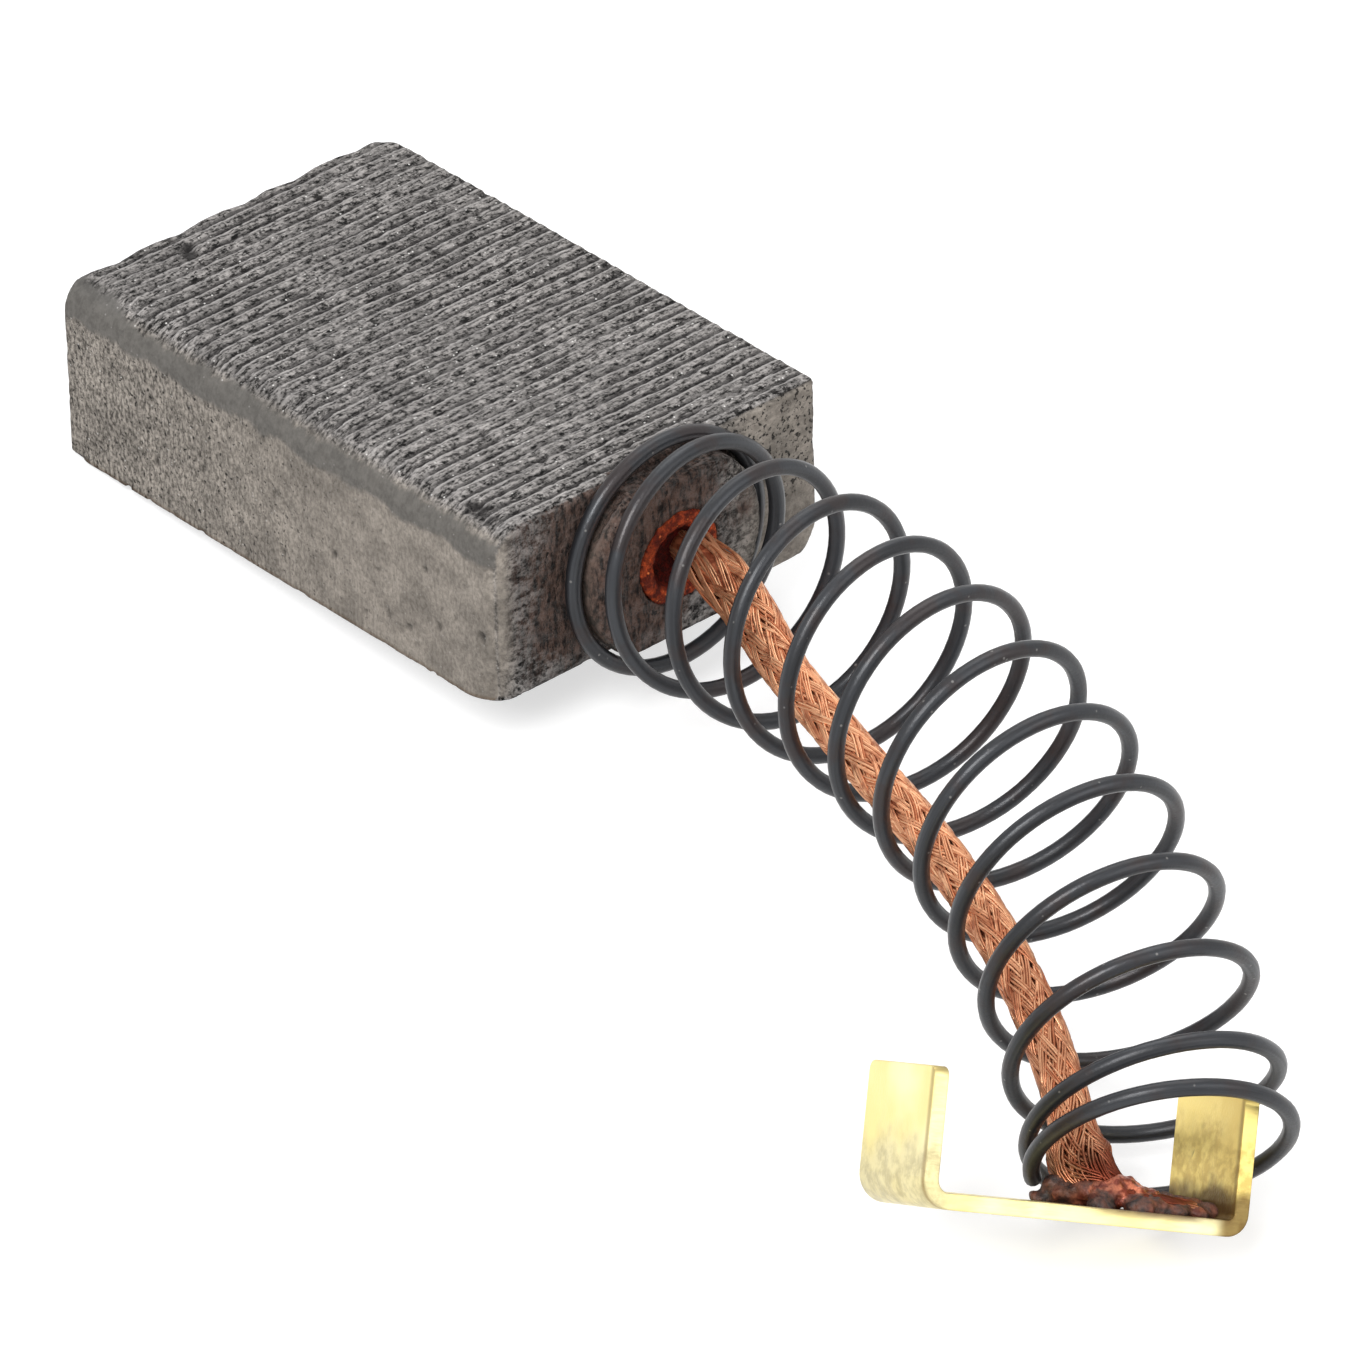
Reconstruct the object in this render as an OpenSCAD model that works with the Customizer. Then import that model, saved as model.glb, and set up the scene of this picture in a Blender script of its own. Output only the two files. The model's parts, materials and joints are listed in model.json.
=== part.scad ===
// Carbon brush: a carbon block with a compression spring round a braided pigtail,
// and a bent brass terminal clip at the far end of the pigtail.
// Lengths are in millimetres and angles in degrees. The part lies as it comes to rest,
// on the lower edge of the block's contact end and on the last coil of the spring.

/* [Carbon block] */
// Length from the contact end to the spring seat
block_length = 21; // [17:0.5:26]
// Width between the two guide sides
block_width = 13.5; // [11.5:0.5:17]
// Thickness between the two broad faces
block_thickness = 6.5; // [5.5:0.25:8]
// Radius of the rubbed long edge at the top of the near side
rubbed_edge_radius = 1.2; // [0.5:0.1:2]
// Radius of the rounded long edge diagonally below it
lower_edge_radius = 1.3; // [0.5:0.1:2]
// Radius of the near upright edge at the spring seat
seat_edge_radius = 0.6; // [0.2:0.1:1.2]
// Bevel worn on the far upright edge at the contact end
contact_edge_bevel = 0.9; // [0.3:0.1:1]
// Radius of the worn top edge of the contact end
worn_edge_radius = 0.45; // [0.1:0.05:0.8]
// Distance from one pressed ridge to the next
ridge_pitch = 0.6; // [0.5:0.05:1.2]
// Depth of the grooves between the ridges
ridge_depth = 0.05; // [0.02:0.01:0.1]
// Plain margin between the ridges and the rubbed edge
ridge_margin = 1.6; // [1:0.1:3]

/* [Spring seat] */
// Diameter of the boss inside the first coil
boss_diameter = 7.1; // [6:0.1:7.1]
// Height of the boss above the seat
boss_height = 1.05; // [0.8:0.05:1.3]
// Bevel round the rim of the boss
boss_bevel = 0.3; // [0.1:0.05:0.4]
// Step from the broad faces down to the flats of the boss
boss_step = 0.05; // [0.02:0.01:0.2]
// Diameter of the powder plug round the pigtail
plug_diameter = 3.2; // [3:0.1:4]
// Depth of the powder plug
plug_depth = 4; // [2:0.25:8]
// Diameter of the hollow that the pigtail comes out of
hollow_diameter = 2.1; // [2:0.05:2.3]
// Depth of that hollow
hollow_depth = 0.7; // [0.3:0.05:1.2]

/* [Spring] */
// Diameter of the spring wire
wire_diameter = 0.55; // [0.4:0.05:0.6]
// Mean diameter of the coils
coil_diameter = 7.9; // [7.9:0.05:8.4]
// Turns between the two closed ends
active_turns = 12.35; // [9:0.05:12.8]
// Share of those turns in which the pitch opens at each end
opening_share = 0.12; // [0.11:0.01:0.15]
// Reach of the spring along the block's axis
spring_reach = 29.8; // [28:0.2:34]
// Distance that the held spring bows towards the near side
spring_bow = 6.57; // [4:0.1:8]
// Distance that its free end drops
spring_drop = 4.65; // [3.5:0.05:5.5]

/* [Terminal clip] */
// Length across the two ears
clip_length = 11; // [10:0.25:12.5]
// Width of the brass strip
clip_width = 4.2; // [3.8:0.1:5]
// Thickness of the brass strip
clip_thickness = 0.5; // [0.3:0.05:0.6]
// Height of the ears over the outer face
ear_height = 4.2; // [3.4:0.1:4.6]
// Inner radius of the soft bend
soft_bend_radius = 0.4; // [0.2:0.05:0.8]
// Inner radius of the tight bend
tight_bend_radius = 0.2; // [0.1:0.05:0.4]
// Radius of the ear corners
ear_corner_radius = 0.3; // [0.1:0.05:0.8]
// Turn of the clip about the upright axis
clip_yaw = 67.9; // [60:0.1:75]
// Dip of the clip towards its far ear
clip_dip = 20.4; // [14:0.1:26]
// Roll of the clip about its own length
clip_roll = -29.9; // [-36:0.1:-24]

/* [Pigtail] */
// Width of the copper braid
braid_width = 1.45; // [1.2:0.05:1.6]
// Thickness of the copper braid
braid_thickness = 1.2; // [0.9:0.05:1.4]
// Width of the splayed braid at the powder plug
root_width = 1.85; // [1.5:0.05:1.9]
// Width of the welded tail
tail_width = 1.9; // [1.5:0.05:2.4]
// Thickness of the welded tail
tail_thickness = 0.5; // [0.4:0.02:0.56]

/* [Hidden] */
$fa = 4;
$fs = 0.1;

// Clearance between pieces that sit against each other
seat_gap = 0.01;
// Clearance between the powder plug and its bore
plug_fit = 0.01;
// Height kept over a face that a cut runs through
over = 0.5;

wire_radius = wire_diameter / 2;
coil_radius = coil_diameter / 2;
boss_radius = boss_diameter / 2;
half_width = block_width / 2;
half_thickness = block_thickness / 2;
plan_radii = [0, seat_edge_radius, 0, 0];
section_radii = [0, lower_edge_radius, 0, rubbed_edge_radius];
ridge_rows = floor((block_length - 1) / ridge_pitch);
groove_width = ridge_pitch * 0.5;
seat_centre = [block_length, half_width, half_thickness];

// Spring wire: turns before the pitch opens, and the angle at which the count starts
first_turn = 0.61;
start_turn = 0.4;
last_turn = first_turn + active_turns + 0.14;
start_angle = 158.8;
// Share of the spring's axis over which the coils turn from the seat to the axis
settle_share = 0.15;
rings_per_turn = 28;
wire_sides = 8;
wire_rings = ceil((last_turn - start_turn) * rings_per_turn);

// Control points of the spring's bowed axis
spring_axis = [
    seat_centre + [wire_radius + seat_gap, 0, 0],
    seat_centre + [spring_reach * 0.39, 0, 1.98],
    seat_centre + [spring_reach * 0.72, -spring_bow * 0.174, 0.67],
    seat_centre + [spring_reach, -spring_bow, -spring_drop]
];

// Place of the last coil's centre over the clip, along the clip's own axes
ring_on_clip = [3.35, 1.85, 1.88];
clip_turn = [clip_roll, clip_dip, clip_yaw];
clip_origin = spring_axis[3] - turned(ring_on_clip, clip_turn);
half_clip = clip_length / 2;
ear_top = ear_height - clip_thickness;
soft_outer_radius = soft_bend_radius + clip_thickness;
tight_outer_radius = tight_bend_radius + clip_thickness;

// Pigtail: out of the hollow, across to the inner side of the bow, along it and down onto
// the clip. The swing is the angle round the spring's axis at which the braid lies.
root_point = seat_centre + [boss_height - hollow_depth + seat_gap, 0, 0];
lie_off = 2.8;
lie_relief = 0.35;
root_swing = 233;
foot_swing = 194;
leave_share = 0.07;
free_share = 0.95;
tail_height = tail_thickness / 2 + seat_gap;
foot_reach = 1.3;
braid_sides = 12;
free_rings = 36;
foot_rings = 14;
free_path = [
    root_point,
    root_point + [hollow_depth, 0, 0],
    for (i = [0:free_rings]) free_point(mix(leave_share, free_share, i / free_rings))
];
free_end = free_path[free_rings + 2];
foot_axis = [
    free_end,
    free_end + unit(free_end - free_path[free_rings]) * foot_reach,
    on_clip([1.7, 1.9, tail_height]),
    on_clip([4.35, 1.9, tail_height])
];

// Small functions
function unit(v) = v / norm(v);
function mix(a, b, s) = a + (b - a) * s;
function share(s) = min(max(s, 0), 1);
function smooth(s) = share(s) * share(s) * (3 - 2 * share(s));
function way_along(path, i) =
    unit(path[min(i + 1, len(path) - 1)] - path[max(i - 1, 0)]);
function about_x(v, a) = [v[0], v[1] * cos(a) - v[2] * sin(a), v[1] * sin(a) + v[2] * cos(a)];
function about_y(v, a) = [v[0] * cos(a) + v[2] * sin(a), v[1], v[2] * cos(a) - v[0] * sin(a)];
function about_z(v, a) = [v[0] * cos(a) - v[1] * sin(a), v[0] * sin(a) + v[1] * cos(a), v[2]];
function turned(v, t) = about_z(about_y(about_x(v, t[0]), t[1]), t[2]);
function on_clip(v) = clip_origin + turned(v, clip_turn);
function curve(p, t) =
    pow(1 - t, 3) * p[0] + 3 * pow(1 - t, 2) * t * p[1]
    + 3 * (1 - t) * t * t * p[2] + t * t * t * p[3];
function curve_way(p, t) =
    unit(pow(1 - t, 2) * (p[1] - p[0]) + 2 * (1 - t) * t * (p[2] - p[1]) + t * t * (p[3] - p[2]));

// Spring wire: the pitch opens and closes smoothly over the end shares
function along(m, w) =
    m < w ? m * m / (2 * w * (1 - w))
    : m > 1 - w ? 1 - (1 - m) * (1 - m) / (2 * w * (1 - w))
    : (m - w / 2) / (1 - w);
function axis_share(n) = along(share((n - first_turn) / active_turns), opening_share);
function coil_way(t) = unit(mix([1, 0, 0], curve_way(spring_axis, t), share(t / settle_share)));
function coil_side(t) = unit(cross([0, 0, 1], coil_way(t)));
function coil_out(n, t) =
    cos(start_angle + 360 * n) * coil_side(t)
    + sin(start_angle + 360 * n) * cross(coil_way(t), coil_side(t));
function wire_point(n) =
    curve(spring_axis, axis_share(n)) + coil_radius * coil_out(n, axis_share(n));
function wire_way(n) = unit(wire_point(n + 0.004) - wire_point(n - 0.004));
function wire_ring(n) =
    let (way = wire_way(n), out = coil_out(n, axis_share(n)),
         one = unit(out - way * (out * way)), two = cross(way, one))
    [for (k = [0:wire_sides - 1])
        wire_point(n) + wire_radius * (cos(360 * k / wire_sides) * one + sin(360 * k / wire_sides) * two)];
wire_corners = [for (i = [0:wire_rings])
    each wire_ring(mix(start_turn, last_turn, i / wire_rings))];

// Pigtail braid: an oval that is flattened where it is welded down
function braid_off(t) = lie_off * sin(90 * share(t / 0.5)) - lie_relief * smooth((t - 0.55) / 0.45);
function braid_side(t) =
    let (swing = mix(root_swing, foot_swing, t / free_share))
    cos(swing) * coil_side(t) + sin(swing) * cross(coil_way(t), coil_side(t));
function free_point(t) = curve(spring_axis, t) + braid_off(t) * braid_side(t);
function free_ring(i) =
    oval(free_path[i], way_along(free_path, i), braid_side(free_share * i / free_rings),
        mix(root_width, braid_width, smooth(4 * i / free_rings)), braid_thickness);
function foot_ring(s) =
    oval(curve(foot_axis, s), curve_way(foot_axis, s),
        mix(braid_side(free_share), turned([0, 0, -1], clip_turn), smooth(s)),
        mix(braid_width, tail_thickness, smooth(s / 0.8)), mix(braid_thickness, tail_width, smooth(s)));
function oval(centre, way, aim, long, short) =
    let (one = unit(aim - way * (aim * way)), two = cross(way, one))
    [for (k = [0:braid_sides - 1])
        centre + one * cos(360 * k / braid_sides) * long / 2
        + two * sin(360 * k / braid_sides) * short / 2];
braid_corners = [
    for (i = [0:free_rings + 2]) each free_ring(i),
    for (i = [1:foot_rings]) each foot_ring(i / foot_rings)
];

// Outer points of the clip, for its lowest point and its extents
clip_outline = [
    for (a = [0:5:90]) [half_clip - tight_outer_radius * (1 - cos(a)),
        tight_outer_radius * (1 - sin(a)) - clip_thickness],
    for (a = [0:5:90]) [soft_outer_radius * (1 - cos(a)) - half_clip,
        soft_outer_radius * (1 - sin(a)) - clip_thickness]
];
ear_corner = [for (a = [0:15:90])
    [ear_corner_radius * (1 - cos(a)), ear_top - ear_corner_radius * (1 - sin(a))]];
clip_corners = [
    for (p = clip_outline, y = [0, clip_width]) on_clip([p[0], y, p[1]]),
    for (p = ear_corner, x = [-half_clip, half_clip])
        each [on_clip([x, p[0], p[1]]), on_clip([x, clip_width - p[0], p[1]])]
];

// Rest: the part tips about the lower contact edge until its lowest point is level with it
rest_tilt = max(0, max([for (p = concat(clip_corners, wire_corners)) -atan2(p[2], p[0])]));
worn_edge = [for (a = [0:5:90])
    [worn_edge_radius * (1 - cos(a)), block_thickness - worn_edge_radius * (1 - sin(a))]];
block_corners = [
    for (p = worn_edge, y = [0, block_width]) [p[0], y, p[1]],
    [0, 0, 0],
    [block_length, 0, block_thickness]
];
rested = [for (p = concat(clip_corners, wire_corners, block_corners)) about_y(p, -rest_tilt)];
xs = [for (p = rested) p[0]];
ys = [for (p = rested) p[1]];
rest_shift = [-(min(xs) + max(xs)) / 2, -(min(ys) + max(ys)) / 2, 0];

// Puts the block's own frame where the resting part has it
module at_rest() {
    translate(rest_shift)
        rotate([0, -rest_tilt, 0])
            children();
}

// One closed skin through rings of the same number of corners
module skin(corners, sides) {
    rows = len(corners) / sides;
    walls = [for (i = [0:rows - 2], k = [0:sides - 1])
        let (a = i * sides + k, b = i * sides + (k + 1) % sides)
        each [[a, a + sides, b], [b, a + sides, b + sides]]];
    start_cap = [for (k = [1:sides - 2]) [0, k, k + 1]];
    base = (rows - 1) * sides;
    end_cap = [for (k = [1:sides - 2]) [base, base + k + 1, base + k]];
    polyhedron(points = corners, faces = concat(walls, start_cap, end_cap));
}

// Rectangle whose four corners have their own radii, counted round from the origin
module rounded_plate(size, radii) {
    difference() {
        square(size);
        corner_waste(radii[0]);
        translate([size[0], 0])
            mirror([1, 0])
                corner_waste(radii[1]);
        translate(size)
            mirror([1, 0])
                mirror([0, 1])
                    corner_waste(radii[2]);
        translate([0, size[1]])
            mirror([0, 1])
                corner_waste(radii[3]);
    }
}

// What a quarter round leaves over from a square corner
module corner_waste(radius) {
    if (radius > 0)
        difference() {
            translate([-over, -over])
                square(radius + over);
            translate([radius, radius])
                circle(r = radius);
        }
}

// Pressed block: its plan, its section and its side view cut from one bar
module pressed_block() {
    intersection() {
        linear_extrude(height = block_thickness)
            difference() {
                rounded_plate([block_length, block_width], plan_radii);
                translate([0, block_width])
                    rotate(45)
                        square(contact_edge_bevel * sqrt(2), center = true);
            }
        rotate([90, 0, 90])
            linear_extrude(height = block_length)
                rounded_plate([block_width, block_thickness], section_radii);
        translate([0, block_width, 0])
            rotate([90, 0, 0])
                linear_extrude(height = block_width)
                    rounded_plate([block_length, block_thickness], [0, 0, 0, worn_edge_radius]);
    }
}

// Boss with a bevelled rim, from one millimetre inside the block
module boss() {
    rotate_extrude()
        polygon([
            [0, 0],
            [boss_radius, 0],
            [boss_radius, 1 + boss_height - boss_bevel],
            [boss_radius - boss_bevel, 1 + boss_height],
            [0, 1 + boss_height]
        ]);
}

module carbon_block() {
    color([0.42, 0.41, 0.39])
    at_rest()
    difference() {
        union() {
            pressed_block();
            intersection() {
                translate(seat_centre - [1, 0, 0])
                    rotate([0, 90, 0])
                        boss();
                translate([0, 0, boss_step])
                    cube([block_length + boss_height, block_width, block_thickness - 2 * boss_step]);
            }
        }
        translate(seat_centre + [boss_height - plug_depth, 0, 0])
            rotate([0, 90, 0])
                cylinder(r = plug_diameter / 2 + plug_fit, h = plug_depth + over);
        for (i = [0:ridge_rows - 1])
            translate([0.5 + i * ridge_pitch, rubbed_edge_radius + ridge_margin,
                       block_thickness - ridge_depth])
                cube([groove_width, block_width, over]);
    }
}

module tamping_plug() {
    color([0.62, 0.25, 0.1])
    at_rest()
    translate(seat_centre + [boss_height - plug_depth + plug_fit, 0, 0])
        rotate([0, 90, 0])
            difference() {
                cylinder(r = plug_diameter / 2, h = plug_depth - plug_fit);
                translate([0, 0, plug_depth - plug_fit - hollow_depth])
                    cylinder(r = hollow_diameter / 2, h = hollow_depth + over);
            }
}

module compression_spring() {
    color([0.28, 0.29, 0.3])
    at_rest()
    skin(wire_corners, wire_sides);
}

module pigtail() {
    color([0.78, 0.5, 0.34])
    at_rest()
    skin(braid_corners, braid_sides);
}

// Outline of the bent strip: the base, two bends and two ears
module clip_section() {
    union() {
        translate([soft_outer_radius - half_clip, -clip_thickness])
            square([clip_length - soft_outer_radius - tight_outer_radius, clip_thickness]);
        translate([-half_clip, soft_bend_radius])
            square([clip_thickness, ear_top - soft_bend_radius]);
        translate([half_clip - clip_thickness, tight_bend_radius])
            square([clip_thickness, ear_top - tight_bend_radius]);
        translate([soft_outer_radius - half_clip, soft_bend_radius])
            intersection() {
                bend_ring(soft_bend_radius);
                translate([-soft_outer_radius, -soft_outer_radius])
                    square(soft_outer_radius);
            }
        translate([half_clip - tight_outer_radius, tight_bend_radius])
            intersection() {
                bend_ring(tight_bend_radius);
                translate([0, -tight_outer_radius])
                    square(tight_outer_radius);
            }
    }
}

// Full ring of a bend, cut to a quarter by the outline
module bend_ring(inner) {
    difference() {
        circle(r = inner + clip_thickness);
        circle(r = inner);
    }
}

// Side view of the clip, with the rounded ear corners
module clip_side() {
    union() {
        translate([0, -clip_thickness])
            square([clip_width, ear_height - ear_corner_radius]);
        translate([ear_corner_radius, -clip_thickness])
            square([clip_width - ear_corner_radius * 2, ear_height]);
        for (y = [ear_corner_radius, clip_width - ear_corner_radius])
            translate([y, ear_top - ear_corner_radius])
                circle(r = ear_corner_radius);
    }
}

module terminal_clip() {
    color([0.9, 0.82, 0.5])
    at_rest()
    translate(clip_origin)
        rotate(clip_turn)
            intersection() {
                translate([0, clip_width, 0])
                    rotate([90, 0, 0])
                        linear_extrude(height = clip_width)
                            clip_section();
                translate([-half_clip, 0, 0])
                    rotate([90, 0, 90])
                        linear_extrude(height = clip_length)
                            clip_side();
            }
}

carbon_block();
tamping_plug();
compression_spring();
pigtail();
terminal_clip();
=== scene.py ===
"""Looks of a carbon brush: pressed block, powder plug, spring, braided pigtail and brass clip.

The block has its own frame: x from the contact end to the spring seat, y from the near guide
side to the far one, z up through the thickness. The clip has its own frame too. Pieces are
shaped in those frames, in millimetres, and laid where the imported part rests.
"""
import json
from math import ceil, cos, exp, hypot, pi, radians, sin, tau

import bmesh
import bpy
from mathutils import Euler, Matrix, Vector, noise


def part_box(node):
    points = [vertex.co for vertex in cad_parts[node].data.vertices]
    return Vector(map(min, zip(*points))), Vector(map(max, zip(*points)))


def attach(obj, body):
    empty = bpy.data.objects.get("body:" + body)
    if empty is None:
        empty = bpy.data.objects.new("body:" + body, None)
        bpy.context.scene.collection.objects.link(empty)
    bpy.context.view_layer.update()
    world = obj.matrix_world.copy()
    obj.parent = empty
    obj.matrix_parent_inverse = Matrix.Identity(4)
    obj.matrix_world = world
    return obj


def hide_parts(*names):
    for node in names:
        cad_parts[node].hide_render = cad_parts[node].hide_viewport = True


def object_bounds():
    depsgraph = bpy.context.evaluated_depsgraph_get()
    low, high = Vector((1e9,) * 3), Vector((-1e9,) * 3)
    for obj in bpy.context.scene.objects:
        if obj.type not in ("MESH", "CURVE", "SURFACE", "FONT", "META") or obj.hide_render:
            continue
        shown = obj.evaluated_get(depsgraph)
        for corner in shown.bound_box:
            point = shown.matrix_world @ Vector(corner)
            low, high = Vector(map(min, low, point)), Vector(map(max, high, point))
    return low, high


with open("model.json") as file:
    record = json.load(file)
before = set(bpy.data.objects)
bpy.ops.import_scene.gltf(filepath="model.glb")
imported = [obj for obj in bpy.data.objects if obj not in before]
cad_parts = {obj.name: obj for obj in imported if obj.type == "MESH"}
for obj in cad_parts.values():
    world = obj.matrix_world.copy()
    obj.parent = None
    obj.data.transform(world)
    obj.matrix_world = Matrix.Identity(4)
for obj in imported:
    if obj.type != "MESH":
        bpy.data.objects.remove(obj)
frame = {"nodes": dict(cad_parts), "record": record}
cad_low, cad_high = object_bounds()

MM = 0.001

# ---------------------------------------------------------------------------
# Sizes, in millimetres
# ---------------------------------------------------------------------------

# Clearance between pieces that sit against each other
SEAT_GAP = 0.01

# Block: its size, the radii of its edges, and the size of the facets that carry its wear
BLOCK_LENGTH, BLOCK_WIDTH, BLOCK_THICKNESS = 21.0, 13.5, 6.5
RUBBED_RADIUS = 1.2
LOWER_RADIUS = 1.3
SEAT_EDGE_RADIUS = 0.6
SEAT_CORNER_WEAR = 1.0
CONTACT_EDGE_RADIUS = 1.6
CONTACT_TOP_RADIUS = 0.45
SEAT_TOP_RADIUS = 0.3
SEAT_FOOT_RADIUS = 0.45
RIM_BEVEL = 0.12
BLOCK_GRAIN = 0.11

# Ridges of the top face, from where they start at the near edge
RIDGE_PITCH = 0.6
RIDGE_DEPTH = 0.075
RIDGE_START = 0.25
RIDGE_FADE = 0.7
# How smooth the contact face is ground, against 1 for the rubbed edge
CONTACT_POLISH = 0.7

# Boss, the bore in it and the powder plug
BOSS_RADIUS = 3.55
BOSS_HEIGHT = 1.05
BOSS_BEVEL = 0.3
BOSS_STEP = 0.05
BORE_RADIUS = 1.61
BORE_CUTTER_LENGTH = 4.0
PLUG_RADIUS = 1.6
PLUG_DEPTH = 4.0
HOLLOW_RADIUS = 1.05
HOLLOW_DEPTH = 0.7
PLUG_GRAIN = 0.075

# Spring
WIRE_RADIUS = 0.275
COIL_RADIUS = 3.95
ACTIVE_TURNS = 12.35
OPENING_SHARE = 0.12
FIRST_TURN = 0.61
START_TURN = 0.4
LAST_TURN = FIRST_TURN + ACTIVE_TURNS + 0.14
START_ANGLE = 158.8
SETTLE_SHARE = 0.15
POINTS_PER_TURN = 64
# Height of the wire's drawn marks, which its radius leaves room for
WIRE_MARKS = 0.006

# Clip: its turn in degrees, the end of the spring's axis in its frame, and its edges
CLIP_TURN = (-29.9, 20.4, 67.9)
RING_ON_CLIP = (3.35, 1.85, 1.88)
CLIP_BEVEL = 0.05

# Braid: its ovals, how far off the spring's axis it lies and at which angles round it, the
# shares of the axis that it lies free between, its line on the clip, and its core
BRAID_WIDTH, BRAID_THICKNESS = 1.45, 1.2
ROOT_WIDTH = 1.85
TAIL_WIDTH, TAIL_THICKNESS = 1.9, 0.5
LIE_OFF, LIE_RELIEF = 2.8, 0.35
ROOT_SWING, FOOT_SWING = 233.0, 194.0
LEAVE_SHARE, FREE_SHARE = 0.07, 0.95
FOOT_REACH = 1.3
TAIL_LINE = 1.9
CORE_RADIUS = 0.48

# ---------------------------------------------------------------------------
# The two frames that the pieces are shaped in
# ---------------------------------------------------------------------------

mounts = {mount["name"]: mount for mount in frame["record"]["mounts"]}
ALONG = -Vector(mounts["contact_end"]["axis"]).normalized()
ACROSS = Vector((0, 1, 0))
UPWARD = ALONG.cross(ACROSS)
plug_low, plug_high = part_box("tamping_plug")
plug_middle = BOSS_HEIGHT - PLUG_DEPTH / 2 + SEAT_GAP / 2
seat_place = (plug_low + plug_high) / 2 - ALONG * plug_middle * MM
seat = Vector((BLOCK_LENGTH, BLOCK_WIDTH / 2, BLOCK_THICKNESS / 2))


def frame_matrix(origin, x_way, y_way, z_way):
    """Matrix of a frame in millimetres whose origin is in metres."""
    turn = Matrix((x_way, y_way, z_way)).transposed()
    return Matrix.Translation(origin) @ turn.to_4x4()


corner = seat_place - (ALONG * seat.x + ACROSS * seat.y + UPWARD * seat.z) * MM
BLOCK_PLACE = frame_matrix(corner, ALONG, ACROSS, UPWARD)

# Control points of the spring's bowed axis
SPRING_AXIS = (
    seat + Vector((WIRE_RADIUS + SEAT_GAP, 0, 0)),
    seat + Vector((11.622, 0, 1.98)),
    seat + Vector((21.456, -1.14318, 0.67)),
    seat + Vector((29.8, -6.57, -4.65)),
)
clip_turn = Euler([radians(a) for a in CLIP_TURN], "XYZ").to_matrix()
clip_origin = SPRING_AXIS[3] - clip_turn @ Vector(RING_ON_CLIP)
CLIP_PLACE = BLOCK_PLACE @ Matrix.Translation(clip_origin * MM) @ clip_turn.to_4x4()


def on_clip(x, y, z):
    """A point of the clip's frame, in the block's frame."""
    return clip_origin + clip_turn @ Vector((x, y, z))


# ---------------------------------------------------------------------------
# Small helpers
# ---------------------------------------------------------------------------


def share(s):
    """A number held between 0 and 1."""
    return min(max(s, 0.0), 1.0)


def smooth(s):
    """0 to 1 with a soft start and end."""
    s = share(s)
    return s * s * (3 - 2 * s)


def between(value, low, high):
    """0 at low, 1 at high, smooth on the way."""
    return smooth((value - low) / (high - low))


def mix(a, b, s):
    """From a at 0 to b at 1."""
    return a + (b - a) * s


def speck(point, size, seed):
    """Noise from -1 to 1 whose lumps are about size millimetres."""
    return noise.noise(Vector(point) / size + Vector((seed, seed * 1.7, seed * 0.6)))


def lumps(point, size, seed, layers=3):
    """Layered noise from about -1 to 1."""
    shift = Vector((seed, seed * 1.7, seed * 0.6))
    return noise.fractal(Vector(point) / size + shift, 1.0, 2.0, layers)


def curve_point(points, t):
    """A place on the cubic curve of four control points."""
    s = 1 - t
    start = s**3 * points[0] + 3 * s * s * t * points[1]
    return start + 3 * s * t * t * points[2] + t**3 * points[3]


def curve_way(points, t):
    """The way that curve runs at that place."""
    s = 1 - t
    way = s * s * (points[1] - points[0]) + 2 * s * t * (points[2] - points[1])
    return (way + t * t * (points[3] - points[2])).normalized()


def linked(name, data):
    """A new object in the scene that holds the data."""
    made = bpy.data.objects.new(name, data)
    bpy.context.scene.collection.objects.link(made)
    return made


def outward(azimuth, elevation):
    """Unit vector from the part towards a lamp or camera, from angles in degrees."""
    a, e = radians(azimuth), radians(elevation)
    return Vector((sin(a) * cos(e), -cos(a) * cos(e), sin(e)))


def new_piece(name, mesh, place, finish, replaced=None):
    """Links a mesh in millimetres as a piece of the part, with its place in its mesh."""
    mesh.transform(place @ Matrix.Scale(MM, 4))
    piece = linked(name, mesh)
    mesh.materials.clear()
    mesh.materials.append(finish)
    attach(piece, "root")
    if replaced:
        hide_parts(replaced)
    return piece


def baked(piece):
    """The piece's mesh with its modifiers worked in; the piece itself is removed."""
    bpy.context.view_layer.update()
    graph = bpy.context.evaluated_depsgraph_get()
    mesh = bpy.data.meshes.new_from_object(piece.evaluated_get(graph))
    bpy.data.objects.remove(piece)
    return mesh


def kept_inside(piece):
    """Holds a piece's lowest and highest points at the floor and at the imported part's top."""
    for vertex in piece.data.vertices:
        vertex.co.z = min(max(vertex.co.z, cad_low.z), cad_high.z)


def loose_piece(name, bm):
    """A working object from a bmesh, which is freed."""
    mesh = bpy.data.meshes.new(name)
    bm.to_mesh(mesh)
    bm.free()
    return linked(name, mesh)


def bevelled(bm, edges, width, segments):
    """Rounds edges of a bmesh to a width in millimetres."""
    bmesh.ops.bevel(bm, geom=edges, offset=width, offset_type="OFFSET", affect="EDGES",
                    segments=segments, profile=0.5, material=-1, clamp_overlap=True)


def shade_smooth(mesh):
    """Shades every face of the mesh smooth."""
    mesh.polygons.foreach_set("use_smooth", [True] * len(mesh.polygons))


def roughened(mesh, rise):
    """Moves each vertex rise(place) millimetres along its normal."""
    normals = [vertex.normal.copy() for vertex in mesh.vertices]
    for vertex, normal in zip(mesh.vertices, normals):
        vertex.co += normal * rise(vertex.co)


def marked(mesh, name, values):
    """Keeps one number per vertex on the mesh, for its material to read."""
    mesh.attributes.new(name, "FLOAT", "POINT").data.foreach_set("value", values)


def mark_flow(mesh, stations, step, stretch):
    """Gives a round wire's mesh its own place: along the wire, and round it as a unit circle."""
    ring = len(mesh.vertices) // stations
    flow = []
    for i in range(len(mesh.vertices)):
        angle = tau * (i % ring) / ring
        flow += [(i // ring) * step / stretch, cos(angle), sin(angle)]
    mesh.attributes.new("flow", "FLOAT_VECTOR", "POINT").data.foreach_set("vector", flow)


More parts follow.
